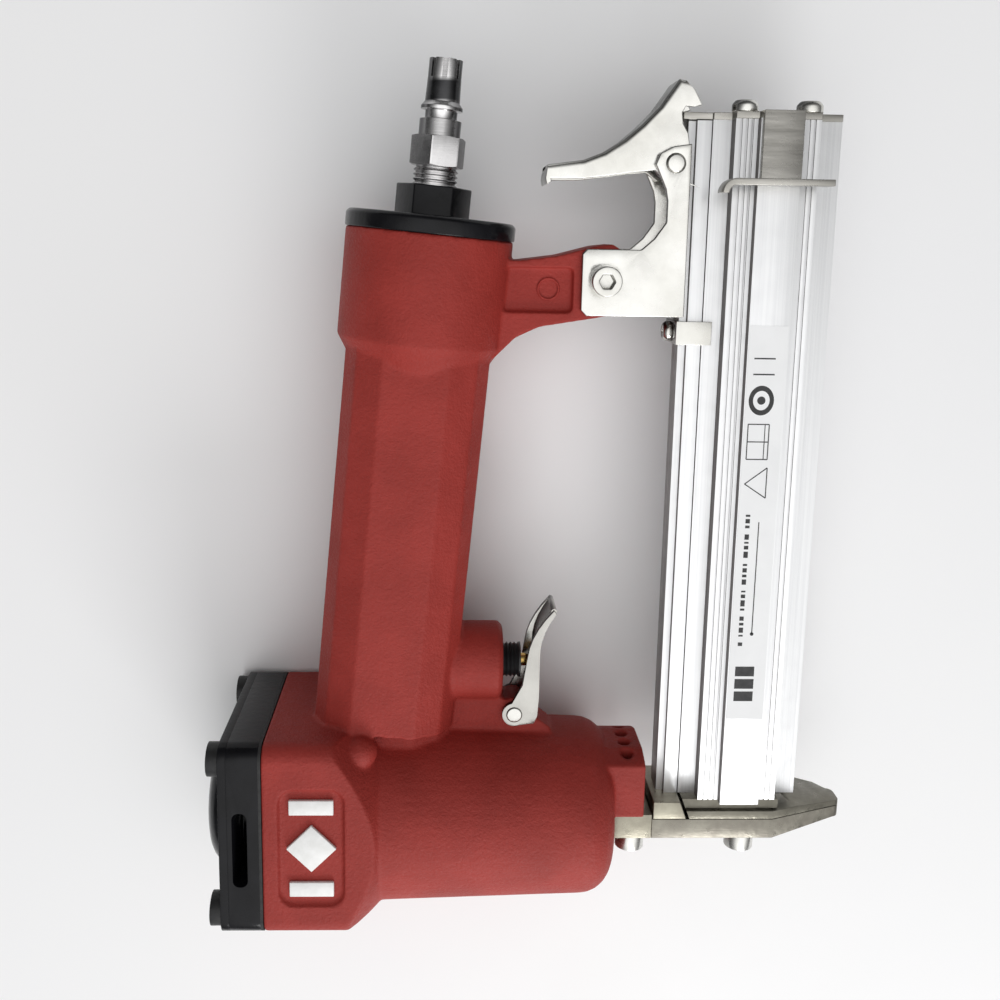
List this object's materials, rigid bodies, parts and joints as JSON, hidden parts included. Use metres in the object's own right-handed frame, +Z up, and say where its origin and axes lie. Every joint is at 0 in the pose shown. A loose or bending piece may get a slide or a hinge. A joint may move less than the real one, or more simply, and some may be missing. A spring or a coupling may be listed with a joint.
{
  "type": "brad nailer",
  "caption": "Air powered brad nailer with a cast pistol body, black cylinder cap, lever trigger, long sliding side-loading magazine and an over-centre latch.",
  "frame": {"origin": "middle of the tool's box, on the bench that it lies on", "axes": "+X is the driving direction, +Y points to the air inlet end of the handle, +Z points up from the bench, out of the tool's side"},
  "size_m": [0.1994, 0.257, 0.06],
  "materials": {
    "red_casting": "fine textured red paint on a cast alloy body",
    "white_badge": "matt white",
    "black_cap": "glossy black paint",
    "black_rubber": "matt black",
    "black_screw": "black oxide steel",
    "sleeve_alloy": "turned and hard anodised",
    "spring_steel": "bright spring wire",
    "hard_steel": "ground and hardened",
    "black_polymer": "moulded black acetal",
    "plug_nickel": "nickel plated, turned",
    "bright_nickel": "bright nickel plated sheet steel",
    "nose_nickel": "warm grey nickel on cast steel",
    "stem_brass": "turned brass",
    "magazine_alloy": "satin anodised extrusion",
    "label_film": "white printed film"
  },
  "bodies": {
    "root": {"body_casting": "red_casting", "side_badge": "white_badge", "cylinder_cap": "black_cap", "exhaust_cover": "black_cap", "cap_gasket": "black_rubber", "cap_screws": "black_screw", "cylinder_sleeve": "sleeve_alloy", "sleeve_seals": "black_rubber", "bumper": "black_rubber", "head_valve_spring": "spring_steel", "inlet_cap": "black_cap", "inlet_oring": "black_rubber", "air_plug": "plug_nickel", "trigger_pin": "bright_nickel", "valve_case": "black_polymer", "valve_spring": "spring_steel", "nose_base": "nose_nickel", "front_guide_plate": "nose_nickel", "rail_foot": "nose_nickel", "nose_screws": "bright_nickel", "magazine_rail": "magazine_alloy", "latch_bracket": "bright_nickel", "latch_pin": "bright_nickel", "latch_spring": "spring_steel", "bracket_screw": "bright_nickel", "spring_washer": "bright_nickel", "bracket_nut": "bright_nickel", "guide_clip": "bright_nickel", "clip_screw": "bright_nickel"},
    "magazine": {"magazine_slide": "magazine_alloy", "magazine_label": "label_film", "end_plate": "bright_nickel", "end_plate_screws": "bright_nickel", "rear_guide_plate": "nose_nickel", "guide_plate_screws": "spring_steel", "pusher_rod": "hard_steel", "pusher_spring": "spring_steel"},
    "pusher": {"pusher": "hard_steel"},
    "trigger": {"trigger": "bright_nickel"},
    "stem": {"valve_stem": "stem_brass", "valve_orings": "black_rubber"},
    "latch": {"latch_lever": "bright_nickel"},
    "piston": {"piston": "sleeve_alloy", "piston_ring": "black_rubber", "driver_blade": "hard_steel"},
    "head_valve": {"head_valve": "black_polymer", "head_valve_seal": "black_rubber"}
  },
  "joints": [
    {"name": "magazine_slide", "type": "slide", "parent": "root", "child": "magazine", "axis": [0, 1, 0], "range_m": [0, 0.13]},
    {"name": "pusher_slide", "type": "slide", "parent": "magazine", "child": "pusher", "axis": [0, 1, 0], "range_m": [0, 0.12], "stiffness_N_per_m": 60, "springref_m": -0.06, "deforming": ["pusher_spring"]},
    {"name": "trigger_pivot", "type": "hinge", "parent": "root", "child": "trigger", "pos_m": [-0.00575, -0.06723, 0.03], "axis": [0, 0, 1], "range_deg": [0, 9], "stiffness_Nm_per_rad": 0.6, "springref_deg": -11.46},
    {"name": "stem_slide", "type": "slide", "parent": "root", "child": "stem", "axis": [-1, 0, 0], "range_m": [0, 0.0026], "deforming": ["valve_spring"]},
    {"name": "latch_pivot", "type": "hinge", "parent": "root", "child": "latch", "pos_m": [0.03585, 0.09937, 0.03], "axis": [0, 0, 1], "range_deg": [0, 20], "stiffness_Nm_per_rad": 0.5, "springref_deg": -20.05},
    {"name": "piston_slide", "type": "slide", "parent": "root", "child": "piston", "axis": [1, 0, 0], "range_m": [0, 0.054]},
    {"name": "head_valve_slide", "type": "slide", "parent": "root", "child": "head_valve", "axis": [-1, 0, 0], "range_m": [0, 0.003], "stiffness_N_per_m": 3000, "springref_m": -0.004, "deforming": ["head_valve_spring"]}
  ],
  "couplings": [
    {"joint": "stem_slide", "follows": "trigger_pivot", "m_per_rad": 0.014647}
  ]
}
